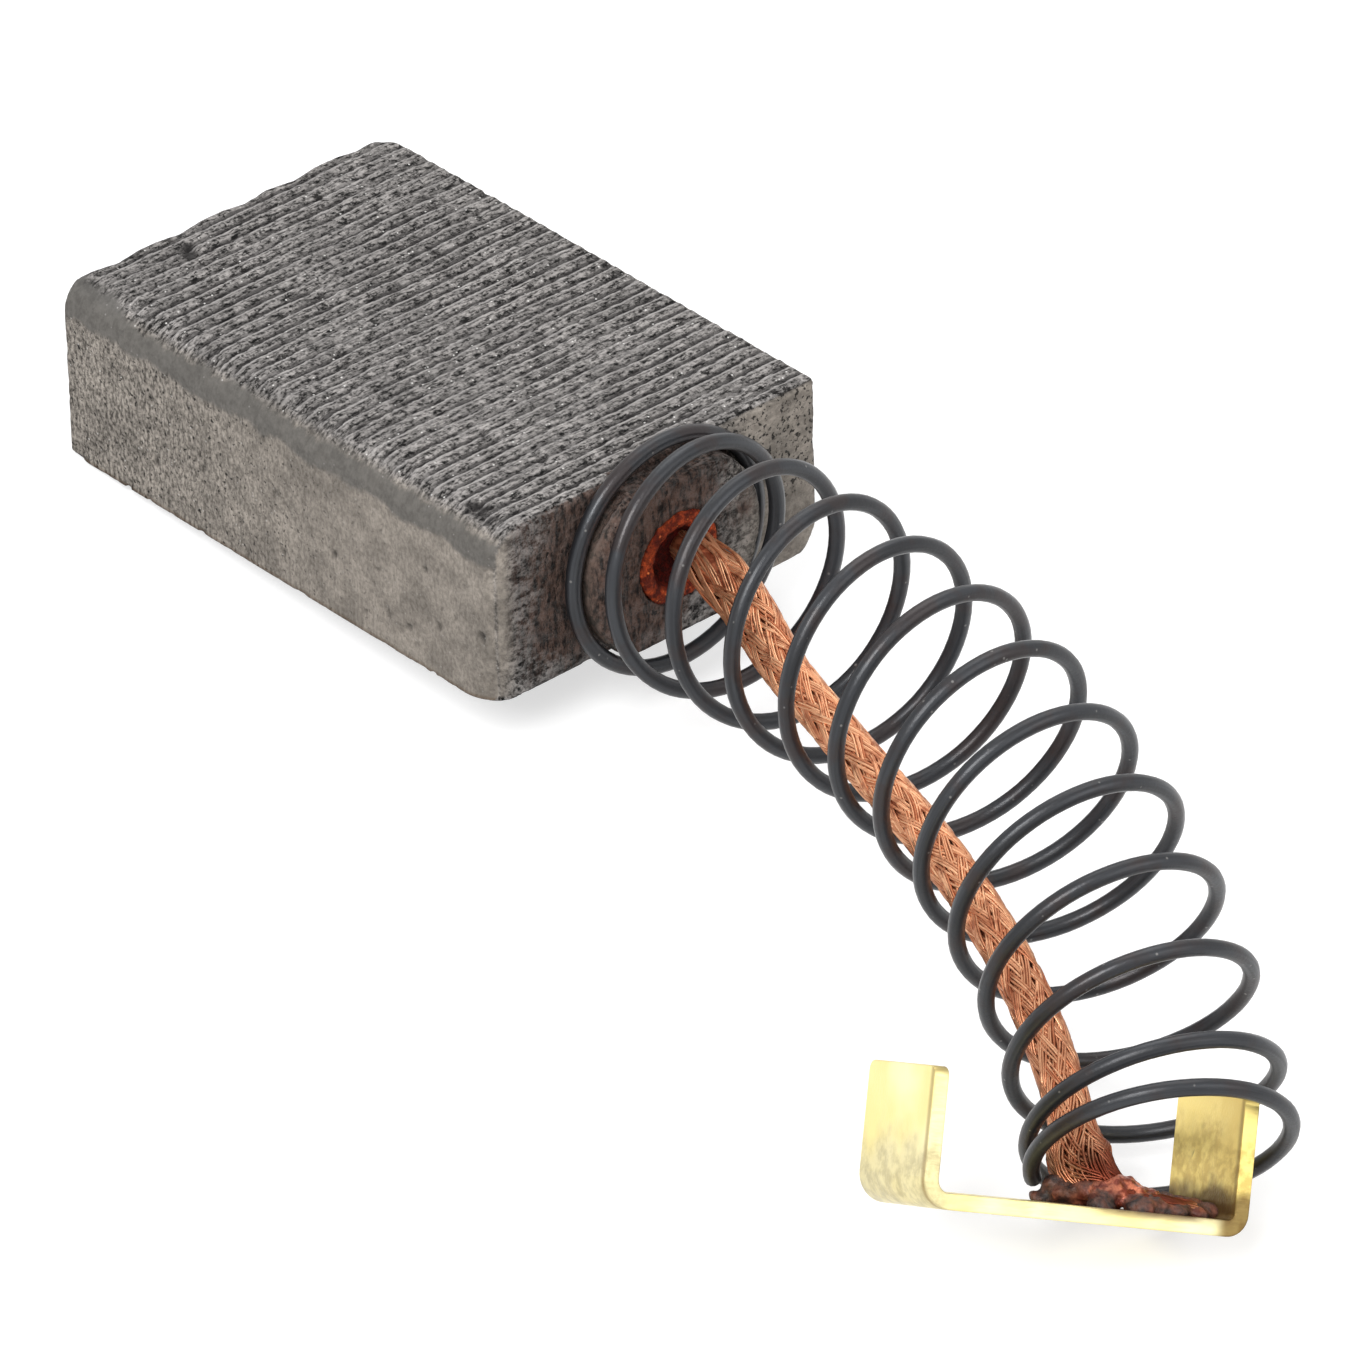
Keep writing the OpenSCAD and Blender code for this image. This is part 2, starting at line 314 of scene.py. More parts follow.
# ---------------------------------------------------------------------------
# Materials
# ---------------------------------------------------------------------------


def tone(red, green, blue):
    """A display colour, 0 to 255, as the shader's colour."""
    def level(v):
        v /= 255
        return v / 12.92 if v <= 0.04045 else ((v + 0.055) / 1.055) ** 2.4
    return (level(red), level(green), level(blue), 1.0)


class Finish:
    """A node material that reads the frame of the piece that it is made for."""

    def __init__(self, name, place):
        self.material = bpy.data.materials.new(name)
        self.material.use_nodes = True
        self.tree = self.material.node_tree
        self.shader = self.tree.nodes["Principled BSDF"]
        source = self.node("ShaderNodeTexCoord")
        mapping = self.node("ShaderNodeMapping", vector_type="TEXTURE")
        mapping.inputs["Location"].default_value = place.translation
        mapping.inputs["Rotation"].default_value = place.to_euler()
        mapping.inputs["Scale"].default_value = (MM, MM, MM)
        self.feed(mapping.inputs["Vector"], source.outputs["Object"])
        self.place = mapping.outputs["Vector"]

    def node(self, kind, **settings):
        """A new node with its settings."""
        made = self.tree.nodes.new(kind)
        for name, value in settings.items():
            setattr(made, name, value)
        return made

    def feed(self, socket, value):
        """Links another node's output to a socket, or sets the socket's own value."""
        if isinstance(value, bpy.types.NodeSocket):
            self.tree.links.new(value, socket)
        else:
            socket.default_value = value

    def sum(self, operation, *values):
        """The outcome of a sum on numbers."""
        made = self.node("ShaderNodeMath", operation=operation)
        for socket, value in zip(made.inputs, values):
            self.feed(socket, value)
        return made.outputs[0]

    def stretched(self, x, y, z):
        """The piece's place scaled along each axis, so that grain on it gets longer or shorter."""
        made = self.node("ShaderNodeVectorMath", operation="MULTIPLY")
        self.feed(made.inputs[0], self.place)
        self.feed(made.inputs[1], (x, y, z))
        return made.outputs[0]

    def grain(self, size, layers=2.0, roughness=0.5, vector=None):
        """Noise whose lumps are about size millimetres."""
        made = self.node("ShaderNodeTexNoise", noise_dimensions="3D")
        self.feed(made.inputs["Vector"], vector or self.place)
        made.inputs["Scale"].default_value = 1 / size
        made.inputs["Detail"].default_value = layers
        made.inputs["Roughness"].default_value = roughness
        return made.outputs["Fac"]

    def cells(self, size):
        """Distance to the nearest of points about size millimetres apart, and its number."""
        made = self.node("ShaderNodeTexVoronoi", feature="F1")
        self.feed(made.inputs["Vector"], self.place)
        made.inputs["Scale"].default_value = 1 / size
        number = self.node("ShaderNodeSeparateColor")
        self.feed(number.inputs[0], made.outputs["Color"])
        return made.outputs["Distance"], number.outputs[0]

    def span(self, value, low, high, start=0.0, end=1.0):
        """Value carried from low..high to start..end, smooth and held at both ends."""
        made = self.node("ShaderNodeMapRange", interpolation_type="SMOOTHSTEP", clamp=True)
        for name, number in (("Value", value), ("From Min", low), ("From Max", high),
                             ("To Min", start), ("To Max", end)):
            self.feed(made.inputs[name], number)
        return made.outputs["Result"]

    def spots(self, size, rarity, low, high):
        """1 in the middle of some of the points of cells, 0 elsewhere."""
        distance, number = self.cells(size)
        return self.sum("MULTIPLY", self.span(distance, high, low),
                        self.span(number, rarity, rarity + 0.02))

    def blend(self, amount, first, second):
        """The first colour at 0, the second at 1."""
        made = self.node("ShaderNodeMix", data_type="RGBA", blend_type="MIX")
        for index, value in ((0, amount), (6, first), (7, second)):
            self.feed(made.inputs[index], value)
        return made.outputs[2]

    def shaded(self, colour, factor):
        """The colour made lighter or darker by a number."""
        made = self.node("ShaderNodeVectorMath", operation="SCALE")
        self.feed(made.inputs[0], colour[:3] if isinstance(colour, tuple) else colour)
        self.feed(made.inputs["Scale"], factor)
        return made.outputs[0]

    def marked(self, name):
        """A number that the mesh keeps per vertex."""
        return self.node("ShaderNodeAttribute", attribute_name=name).outputs["Fac"]

    def flow(self):
        """A wire's own place, along and round it."""
        return self.node("ShaderNodeAttribute", attribute_name="flow").outputs["Vector"]

    def axes(self):
        """The piece's place as three numbers."""
        made = self.node("ShaderNodeSeparateXYZ")
        self.feed(made.inputs[0], self.place)
        return made.outputs

    def raised(self, height, depth, below=None):
        """A bump of so many millimetres, over another one if there is one."""
        made = self.node("ShaderNodeBump")
        made.inputs["Strength"].default_value = 1.0
        made.inputs["Distance"].default_value = depth * MM
        self.feed(made.inputs["Height"], height)
        if below:
            self.feed(made.inputs["Normal"], below)
        return made.outputs["Normal"]

    def finished(self, colour, roughness, normal=None, metallic=0.0, specular=0.5):
        """The material, with what its shader takes."""
        self.feed(self.shader.inputs["Base Color"], colour)
        self.feed(self.shader.inputs["Roughness"], roughness)
        self.feed(self.shader.inputs["Metallic"], metallic)
        self.shader.inputs["Specular IOR Level"].default_value = specular
        if normal:
            self.feed(self.shader.inputs["Normal"], normal)
        return self.material


def carbon_finish():
    """Pressed graphite: ridged grain on the top face with painted shade in its grooves and painted
    highlights on its crests, finer on the sides, pits and glints.
    """
    f = Finish("pressed_carbon", BLOCK_PLACE)
    x, _, z = f.axes()
    ridge, wander = f.marked("ridge"), f.marked("wander")
    side, rub, soot_and_shade = f.marked("side"), f.marked("rub"), f.marked("soot_and_shade")
    chip, pitted = f.marked("chip"), f.marked("pitted")
    # Ridges across the block: painted shade in the dark grooves and a painted highlight along the
    # pale crests, broken by the grain
    fine = f.grain(0.13, 2.0, 0.7)
    drawn = f.grain(0.13, 3.0, 0.7, f.stretched(1.0, 0.27, 0.5))
    turn = f.sum("MULTIPLY", f.sum("ADD", x, wander), tau / RIDGE_PITCH)
    turn = f.sum("ADD", turn, f.sum("MULTIPLY", f.sum("SUBTRACT", drawn, 0.5), 3.5))
    shaded_groove = f.sum("MULTIPLY", f.span(f.sum("COSINE", turn), 0.5, 0.97), ridge)
    lip = f.sum("COSINE", f.sum("SUBTRACT", turn, 1.45))
    crest_highlight = f.sum("MULTIPLY", f.span(lip, 0.65, 0.98), ridge)
    # Base colours and their slow changes
    plain = f.blend(f.span(x, 2.0, 16.0), tone(124, 118, 111), tone(130, 123, 115))
    colour = f.blend(side, tone(106, 103, 101), plain)
    colour = f.shaded(colour, f.span(f.grain(1.3, 4.0, 0.65), 0.36, 0.64, 0.78, 1.18))
    colour = f.shaded(colour, f.span(f.grain(4.5, 2.0), 0.38, 0.62, 0.92, 1.08))
    # Salt-and-pepper grain, strong where the face is rough
    calm = f.sum("MAXIMUM", f.sum("MULTIPLY", rub, 0.8),
                 f.sum("MULTIPLY", side, f.span(x, 1.0, 15.0, 0.35, 0.82)))
    rough = f.sum("SUBTRACT", 1.0, calm)
    both = f.sum("ADD", f.sum("MULTIPLY", fine, 0.35), f.sum("MULTIPLY", drawn, 0.65))
    pepper = f.sum("ADD", f.sum("MULTIPLY", f.span(both, 0.38, 0.62, 0.0, 2.1), rough), calm)
    colour = f.shaded(colour, pepper)
    # Painted shade darkens the grooves
    colour = f.blend(f.sum("MULTIPLY", shaded_groove, 0.8), colour, tone(34, 32, 32))
    clump = f.span(f.grain(0.25, 3.0, 0.65, f.stretched(1.0, 0.4, 1.0)), 0.58, 0.65)
    clump = f.sum("MULTIPLY", f.sum("MULTIPLY", clump, ridge), 0.75)
    colour = f.blend(clump, colour, tone(30, 27, 27))
    # Painted highlight along each crest
    colour = f.blend(f.sum("MULTIPLY", crest_highlight, 0.55), colour, tone(184, 180, 178))
    # Rubbed edge, and soot on the spring seat with painted shade on the boss's side
    worn = f.shaded(tone(90, 88, 85), f.span(f.grain(0.35, 4.0, 0.7), 0.35, 0.65, 0.82, 1.18))
    colour = f.blend(f.sum("MULTIPLY", rub, 0.85), colour, worn)
    streak = f.grain(0.3, 4.0, 0.75, f.stretched(1.0, 1.3, 0.4))
    soot_and_shade_tone = f.shaded(tone(66, 52, 46), f.span(streak, 0.37, 0.63, 0.05, 2.2))
    # Soot on the seat, with painted shade on the boss's side between the coils
    colour = f.blend(f.sum("MULTIPLY", soot_and_shade, 0.9), colour, soot_and_shade_tone)
    # Pits, chips and glints
    small = f.sum("MULTIPLY", f.span(f.grain(0.17, 2.0, 0.5), 0.63, 0.67),
                  f.span(x, 19.0, 6.0, 0.2, 1.0))
    small = f.sum("MULTIPLY", small, f.sum("SUBTRACT", 1.0, rub))
    large = f.sum("MULTIPLY", f.span(f.grain(0.5, 3.0, 0.65), 0.66, 0.71), rough)
    dense = f.sum("MULTIPLY", f.span(f.grain(0.2, 3.0, 0.65), 0.55, 0.6), pitted)
    dark = f.sum("MAXIMUM", f.sum("MAXIMUM", small, large), dense)
    colour = f.blend(f.sum("MULTIPLY", dark, 0.9), colour, tone(20, 18, 17))
    colour = f.blend(f.sum("MULTIPLY", chip, 0.92), colour, tone(24, 22, 22))
    glint = f.sum("MULTIPLY", f.spots(0.15, 0.9, 0.1, 0.3), f.span(x, 20.8, 20.6))
    glint = f.sum("MULTIPLY", glint, rough)
    colour = f.blend(f.sum("MULTIPLY", glint, 0.9), colour, tone(218, 216, 213))
    edge = f.sum("MULTIPLY", f.span(z, 0.2, 0.02), side)
    colour = f.blend(f.sum("MULTIPLY", edge, 0.6), colour, tone(80, 60, 40))
    height = f.sum("SUBTRACT", both, f.sum("MULTIPLY", dark, 0.6))
    normal = f.raised(f.sum("MULTIPLY", height, rough), 0.1)
    normal = f.raised(f.sum("MULTIPLY", shaded_groove, -1.0), 0.06, normal)
    return f.finished(colour, f.span(both, 0.41, 0.59, 0.8, 0.5), normal, specular=0.15)


def powder_finish():
    """Copper powder tamped round the pigtail: red ring, painted shade in the hollow, painted
    highlights on some grains.
    """
    f = Finish("tamped_powder", BLOCK_PLACE)
    hollow_shade = f.marked("hollow_shade")
    fine = f.grain(0.16, 4.0, 0.75)
    patch = f.span(f.grain(0.4, 3.0, 0.7), 0.36, 0.64)
    colour = f.blend(patch, tone(88, 26, 12), tone(160, 66, 32))
    colour = f.shaded(colour, f.span(fine, 0.35, 0.65, 0.5, 1.5))
    # Painted shade in the hollow
    hollow_shade_tone = f.blend(f.span(fine, 0.4, 0.65), tone(46, 7, 4), tone(92, 18, 8))
    colour = f.blend(hollow_shade, colour, hollow_shade_tone)
    # Painted highlights on some grains of the powder
    grain_highlights = f.sum("MULTIPLY", f.spots(0.17, 0.8, 0.1, 0.32), f.sum("SUBTRACT", 1.0, hollow_shade))
    colour = f.blend(grain_highlights, colour, tone(228, 128, 72))
    normal = f.raised(fine, 0.1)
    return f.finished(colour, 0.75, normal, metallic=0.1, specular=0.2)


def spring_finish():
    """Dark tempered wire with soft marks drawn along it."""
    f = Finish("tempered_wire", BLOCK_PLACE)
    flow = f.flow()
    drawn = f.grain(0.9, 4.0, 0.6, flow)
    colour = f.blend(f.span(drawn, 0.34, 0.66), tone(32, 33, 36), tone(50, 52, 56))
    brown = f.span(f.grain(1.6, 3.0, 0.6), 0.46, 0.64)
    colour = f.blend(f.sum("MULTIPLY", brown, 0.7), colour, tone(46, 37, 36))
    dust = f.sum("MULTIPLY", f.spots(0.3, 0.84, 0.06, 0.2), 0.7)
    colour = f.blend(dust, colour, tone(128, 126, 124))
    normal = f.raised(f.sum("ADD", drawn, f.sum("MULTIPLY", f.grain(0.12, 3.0, 0.7), 0.8)), 0.01)
    gloss = f.span(drawn, 0.36, 0.64, 0.4, 0.3)
    return f.finished(colour, gloss, normal, metallic=0.3, specular=0.45)


def copper_finish():
    """Bare copper strands, each a little different in tint and tarnish."""
    f = Finish("copper_strand", BLOCK_PLACE)
    strand, burnt = f.marked("strand"), f.marked("burnt")
    colour = f.blend(strand, tone(190, 120, 84), tone(240, 184, 142))
    dull = f.span(f.grain(0.45, 3.0, 0.6), 0.5, 0.68)
    colour = f.blend(f.sum("MULTIPLY", dull, 0.7), colour, tone(156, 84, 54))
    colour = f.blend(burnt, colour, tone(104, 44, 26))
    return f.finished(colour, f.span(strand, 0.0, 1.0, 0.48, 0.34), metallic=0.8)


def core_finish():
    """The shaded inside of the braid."""
    f = Finish("braid_core", BLOCK_PLACE)
    colour = f.blend(f.span(f.grain(0.3, 2.0), 0.4, 0.6), tone(128, 66, 42), tone(176, 104, 72))
    return f.finished(colour, 0.5, metallic=0.6)


def brass_finish():
    """Bright rolled brass, tarnished by the weld, greyer low on the left ear, olive and spotted low
    on the right ear, which painted light brightens.
    """
    f = Finish("rolled_brass", CLIP_PLACE)
    x, y, z = f.axes()
    cloud = f.grain(1.1, 2.0, 0.5)
    fine = f.grain(0.45, 4.0, 0.6)
    ragged = f.sum("MULTIPLY", f.sum("SUBTRACT", cloud, 0.5), 2.2)
    low = f.sum("ADD", z, ragged)
    colour = f.blend(f.span(f.grain(2.6, 2.0), 0.4, 0.65), tone(238, 222, 152), tone(247, 236, 182))
    # Painted light: the right ear brightened to stand in for the light that the spring keeps off it
    colour = f.blend(f.span(x, 4.5, 4.9), colour, tone(250, 226, 138))
    left = f.sum("MULTIPLY", f.span(x, -4.2, -5.0), f.span(low, 2.2, 0.6))
    left_ear_low_tone = f.blend(f.span(fine, 0.35, 0.65), tone(168, 156, 118), tone(212, 200, 152))
    colour = f.blend(f.sum("MULTIPLY", left, 0.75), colour, left_ear_low_tone)
    right = f.sum("MULTIPLY", f.span(x, 4.4, 4.9), f.span(low, 3.2, 1.9))
    olive = f.blend(f.span(fine, 0.38, 0.62), tone(176, 142, 66), tone(236, 212, 126))
    colour = f.blend(f.sum("MULTIPLY", right, 0.6), colour, olive)
    foot = f.sum("MULTIPLY", f.span(x, 4.2, 4.8), f.span(low, 1.3, 0.3))
    colour = f.blend(f.sum("MULTIPLY", foot, 0.85), colour, tone(92, 68, 36))
    spots = f.sum("MULTIPLY", f.spots(0.7, 0.55, 0.1, 0.36), right)
    colour = f.blend(f.sum("MULTIPLY", spots, 0.7), colour, tone(110, 86, 44))
    arris = f.sum("MULTIPLY", f.span(y, 0.3, 0.12), f.span(y, 0.0, 0.07))
    colour = f.blend(f.sum("MULTIPLY", arris, 0.6), colour, tone(134, 106, 52))
    tips = f.sum("MULTIPLY", f.span(z, 4.16, 4.3), f.span(fine, 0.44, 0.52))
    colour = f.blend(f.sum("MULTIPLY", tips, 0.6), colour, tone(120, 98, 56))
    dx = f.sum("SUBTRACT", x, 2.4)
    dy = f.sum("SUBTRACT", y, 1.9)
    away = f.sum("SQRT", f.sum("ADD", f.sum("MULTIPLY", dx, dx), f.sum("MULTIPLY", dy, dy)))
    away = f.sum("ADD", away, f.sum("MULTIPLY", ragged, 0.8))
    level = f.sum("MULTIPLY", f.span(z, -0.3, -0.02), f.span(z, 0.7, 0.1))
    heat = f.sum("MULTIPLY", f.span(away, 3.4, 2.0), level)
    colour = f.blend(f.sum("MULTIPLY", heat, 0.85), colour, tone(86, 56, 40))
    scratches = f.grain(0.05, 2.0, 0.5, f.stretched(0.08, 1.0, 0.3))
    normal = f.raised(f.sum("ADD", scratches, f.sum("MULTIPLY", cloud, 3.0)), 0.012)
    return f.finished(colour, f.span(cloud, 0.35, 0.65, 0.3, 0.42), normal, metallic=0.75)


def crust_finish():
    """Weld residue: brown-black scale with glossy copper in it."""
    f = Finish("weld_scale", CLIP_PLACE)
    copper = f.marked("copper")
    colour = f.blend(f.span(f.grain(0.35, 3.0, 0.6), 0.4, 0.62), tone(32, 18, 15), tone(82, 50, 38))
    melt = f.blend(f.span(f.grain(0.25, 2.0), 0.4, 0.6), tone(130, 52, 32), tone(206, 120, 88))
    colour = f.blend(copper, colour, melt)
    normal = f.raised(f.grain(0.16, 3.0, 0.6), 0.05)
    gloss = f.span(copper, 0.0, 1.0, 0.6, 0.28)
    return f.finished(colour, gloss, normal, metallic=f.sum("MULTIPLY", copper, 0.7))


# ---------------------------------------------------------------------------
# Carbon block
# ---------------------------------------------------------------------------

# Dark chips in the top face: x, y, radius and depth
CHIPS = (
    (1.5, 4.1, 0.42, 0.16), (1.15, 4.35, 0.26, 0.1), (19.5, 0.85, 0.42, 0.12),
    (19.1, 0.95, 0.3, 0.08), (20.0, 0.7, 0.25, 0.06),
)
# Faint hollows in the top face, where the ridges are pressed less clearly
HOLLOWS = ((8.5, 3.7, 1.5), (13.3, 5.1, 1.3), (15.3, 9.5, 1.4), (3.5, 11.0, 1.2), (5.5, 6.4, 1.3))
# Cusps between the scallops that wear has left along the contact end's top edge
CUSPS = (2.2, 4.8, 7.5, 9.6, 12.3)
CUSP_DEPTH = 0.14
CUSP_REACH = 0.9


def side_edges(bm, test):
    """Edges whose two ends both pass the test."""
    return [e for e in bm.edges if all(test(v.co) for v in e.verts)]


def bar_shape():
    """The pressed bar: its long edges rounded, then the rims of its two ends."""
    bm = bmesh.new()
    bmesh.ops.create_cube(bm, size=1)
    bmesh.ops.translate(bm, verts=bm.verts, vec=(0.5, 0.5, 0.5))
    bmesh.ops.scale(bm, verts=bm.verts, vec=(BLOCK_LENGTH, BLOCK_WIDTH, BLOCK_THICKNESS))
    top, far = BLOCK_THICKNESS - 0.01, BLOCK_WIDTH - 0.01
    bevelled(bm, side_edges(bm, lambda c: c.y < 0.01 and c.z > top), RUBBED_RADIUS, 10)
    bevelled(bm, side_edges(bm, lambda c: c.y > far and c.z < 0.01), LOWER_RADIUS, 10)
    bevelled(bm, side_edges(bm, lambda c: c.x > BLOCK_LENGTH - 0.01), RIM_BEVEL, 3)
    bevelled(bm, side_edges(bm, lambda c: c.x < 0.01), RIM_BEVEL, 3)
    return bm


def boss_shape():
    """The boss: a bevelled disc whose top and bottom are cut to the block's thickness."""
    bm = bmesh.new()
    depth = BOSS_HEIGHT + 1
    bmesh.ops.create_cone(bm, cap_ends=True, segments=120, radius1=BOSS_RADIUS,
                          radius2=BOSS_RADIUS, depth=depth)
    bmesh.ops.rotate(bm, verts=bm.verts, cent=(0, 0, 0), matrix=Matrix.Rotation(pi / 2, 3, "Y"))
    bmesh.ops.translate(bm, verts=bm.verts, vec=seat + Vector((BOSS_HEIGHT - depth / 2, 0, 0)))
    outer = seat.x + BOSS_HEIGHT - 0.01
    bevelled(bm, side_edges(bm, lambda c: c.x > outer), BOSS_BEVEL, 3)
    for height, way in ((BOSS_STEP, -1), (BLOCK_THICKNESS - BOSS_STEP, 1)):
        cut = bmesh.ops.bisect_plane(bm, geom=bm.verts[:] + bm.edges[:] + bm.faces[:],
                                     plane_co=(0, 0, height), plane_no=(0, 0, way),
                                     clear_outer=True)
        rim = [e for e in cut["geom_cut"] if isinstance(e, bmesh.types.BMEdge)]
        bmesh.ops.contextual_create(bm, geom=rim)
    bmesh.ops.recalc_face_normals(bm, faces=bm.faces)
    return bm


def bore_shape():
    """The bore's cutter, which reaches half its length in from the boss's face."""
    bm = bmesh.new()
    bmesh.ops.create_cone(bm, cap_ends=True, segments=64, radius1=BORE_RADIUS,
                          radius2=BORE_RADIUS, depth=BORE_CUTTER_LENGTH)
    bmesh.ops.rotate(bm, verts=bm.verts, cent=(0, 0, 0), matrix=Matrix.Rotation(pi / 2, 3, "Y"))
    bmesh.ops.translate(bm, verts=bm.verts, vec=seat + Vector((BOSS_HEIGHT, 0, 0)))
    return bm


# Edges of the block that are rounded off: two axes, their faces' places and ways in, and radius
ROUNDED_EDGES = (
    ((0, BLOCK_LENGTH, -1), (2, BLOCK_THICKNESS, -1), SEAT_TOP_RADIUS),
    ((0, BLOCK_LENGTH, -1), (2, 0.0, 1), SEAT_FOOT_RADIUS),
    ((0, 0.0, 1), (2, BLOCK_THICKNESS, -1), CONTACT_TOP_RADIUS),
    ((0, 0.0, 1), (1, BLOCK_WIDTH, -1), CONTACT_EDGE_RADIUS),
)


def rounded_off(point, first, second, radius):
    """Pulls a point inside the radius of the edge where two faces of the block meet."""
    offs = [(point[axis] - place) * way - radius for axis, place, way in (first, second)]
    reach = hypot(*offs)
    if max(offs) < 0 and reach > radius:
        for (axis, place, way), off in zip((first, second), offs):
            point[axis] = place + way * radius * (1 + off / reach)


def ridge_wander(point):
    """How far the ridges stray from straight, in millimetres."""
    return 0.09 * speck((point.x * 0.3, point.y * 0.5, 0), 1.0, 3)


def ridge_share(point):
    """How clearly the ridges are pressed at a point of the top face, 0 to 1."""
    start = RIDGE_START + 0.3 * speck((point.x, 0, 0), 0.9, 5) + 0.5 * between(point.x, 3.5, 1.0)
    worn = 0.6 + 0.4 * between(lumps(point, 3.2, 8), -0.35, 0.1)
    for x, y, radius in HOLLOWS:
        reach = hypot(point.x - x, point.y - y) * (1 + 0.4 * speck(point, 0.8, x))
        worn *= 1 - 0.55 * between(reach, radius, radius * 0.4)
    return between(point.y, start, start + RIDGE_FADE) * worn


def rub_share(point):
    """The smooth band that the guide has rubbed along the near top edge, 0 to 1."""
    if point.y > 2.0:
        return 0.0
    stray = 0.14 * speck((point.x, 0, point.z * 0.5), 0.8, 11) + 0.1 * speck(point, 0.3, 12)
    stray += 0.06 * speck(point, 0.18, 14)
    upper = 6.08 + 0.3 * between(point.x, 4.0, 1.0) + stray
    lower = 5.28 + 0.25 * speck((point.x, 0, 0), 1.6, 13) + stray
    return between(point.z, lower - 0.12, lower + 0.1) * between(point.z, upper + 0.1, upper - 0.1)


def soot_and_shade_share(point):
    """The brown soot round the pigtail and left of the spring, with painted shade on the boss's
    side, 0 to 1.
    """
    dy, dz = point.y - seat.y, point.z - seat.z
    away = hypot(dy, dz)
    lean = (0.6 * dz - 0.8 * dy) / max(away, 0.1)
    if point.x > BLOCK_LENGTH + BOSS_HEIGHT - 0.3:
        return between(lean + 0.3 * (2.6 - away) + 0.7 * lumps(point, 0.9, 43, 2), -0.9, 0.3)
    # Painted shade, with soot, on the boss's side between the coils
    if away < BOSS_RADIUS + 0.15:
        return 0.9
    reach = away + 0.6 * lumps(point, 1.3, 41, 2)
    near = between(reach, 6.2, 4.7) * between(lean + 0.4 * speck(point, 1.1, 42), -0.1, 0.5)
    film = between(point.y, 0.3, 1.2) * between(point.y, 5.0, 3.5) * between(point.z, 0.8, 2.4)
    return max(near, 0.5 * film)


def wear_block(mesh):
    """Presses, pits and wears the block's surface inwards, and marks where each finish shows."""
    names = ("side", "rub", "soot_and_shade", "ridge", "wander", "chip", "pitted")
    marks = {name: [] for name in names}
    normals = [vertex.normal.copy() for vertex in mesh.vertices]
    for vertex, normal in zip(mesh.vertices, normals):
        p = vertex.co.copy()
        for edge in ROUNDED_EDGES:
            rounded_off(p, *edge)
        corner_radius = SEAT_EDGE_RADIUS + SEAT_CORNER_WEAR * between(p.z, 2.6, 0.0)
        rounded_off(p, (0, BLOCK_LENGTH, -1), (1, 0.0, 1), corner_radius)
        on_seat = between(normal.x, 0.6, 0.95)
        flat = between(normal.z, 0.35, 0.7)
        on_contact = between(-normal.x, 0.6, 0.95)
        rub = rub_share(p) * (1 - on_seat) * (1 - on_contact)
        ridge = ridge_share(p) * flat * (1 - rub)
        wander = ridge_wander(p)
        wave = 0.5 + 0.5 * cos(tau * (p.x + wander) / RIDGE_PITCH)
        sink = RIDGE_DEPTH * ridge * wave**2
        chip = 0.0
        if normal.z > 0.5:
            for x, y, radius, depth in CHIPS:
                reach = hypot(p.x - x, p.y - y) * (1 + 0.9 * speck(p, 0.25, x))
                here = between(reach, radius, radius * 0.4)
                chip = max(chip, here)
                sink += depth * here
        rough = (1 - rub) * (1 - 0.4 * on_seat)
        sink += 0.04 * max(0.0, lumps(p, 0.4, 21)) * rough + 0.02 * max(0.0, lumps(p, 2.5, 22))
        pit = max(0.0, speck(p, 0.42, 31) - 0.5) * rough
        sink += 0.3 * pit
        if p.x < 1.5 and p.z > BLOCK_THICKNESS - 1.5:
            near = max(0.0, 1 - min(abs(p.y - cusp) for cusp in CUSPS) / CUSP_REACH)
            sink += CUSP_DEPTH * near * between(max(p.x, BLOCK_THICKNESS - p.z), 1.2, 0.0)
        soot_and_shade = pitted = 0.0
        if p.x > BLOCK_LENGTH - 0.4:
            from_boss = hypot(p.y - seat.y, p.z - seat.z)
            # Soot and painted shade: in full on the boss, elsewhere only on the seat face
            soot_and_shade = soot_and_shade_share(p) * (1.0 if from_boss < BOSS_RADIUS + 0.15 else on_seat)
            upper = between(0.55 * p.y + p.z + 1.2 * speck(p, 1.2, 44), 8.6, 10.4)
            lower = between(hypot(p.y - 2.6, p.z - 1.3) + 0.8 * speck(p, 0.8, 45), 1.9, 0.8)
            pitted = max(upper, lower, 0.35 * (p.x > BLOCK_LENGTH + 0.5)) * (1 - 0.8 * soot_and_shade)
            if p.x < BLOCK_LENGTH + 0.1:
                sink += 0.03 * between(abs(from_boss - 4.3), 0.14, 0.04)
        vertex.co = p - normal * sink
        side = between(abs(normal.y), 0.5, 0.9)
        side = max(side, on_seat * max(between(p.y, 8.0, 11.0), between(p.y, 1.0, 0.3)))
        # The commutator has ground the contact face nearly as smooth as the rubbed edge
        rub = max(rub, CONTACT_POLISH * on_contact)
        chip = share(chip + 2.5 * pit)
        for name, value in zip(names, (side, rub, soot_and_shade, ridge, wander, chip, pitted)):
            marks[name].append(value)
    for name, values in marks.items():
        marked(mesh, name, values)


def carbon_block():
    """Bar and boss joined and bored, meshed evenly, then worn."""
    body = loose_piece("bar", bar_shape())
    boss = loose_piece("boss", boss_shape())
    bore = loose_piece("bore", bore_shape())
    for other, operation in ((boss, "UNION"), (bore, "DIFFERENCE")):
        join = body.modifiers.new("join", "BOOLEAN")
        join.object, join.operation, join.solver = other, operation, "EXACT"
    remesh = body.modifiers.new("grain", "REMESH")
    remesh.mode, remesh.voxel_size = "VOXEL", BLOCK_GRAIN
    mesh = baked(body)
    for other in (boss, bore):
        bpy.data.objects.remove(other)
    wear_block(mesh)
    shade_smooth(mesh)
    new_piece("carbon_body", mesh, BLOCK_PLACE, carbon_finish(), "carbon_block")


# ---------------------------------------------------------------------------
# Powder plug
# ---------------------------------------------------------------------------


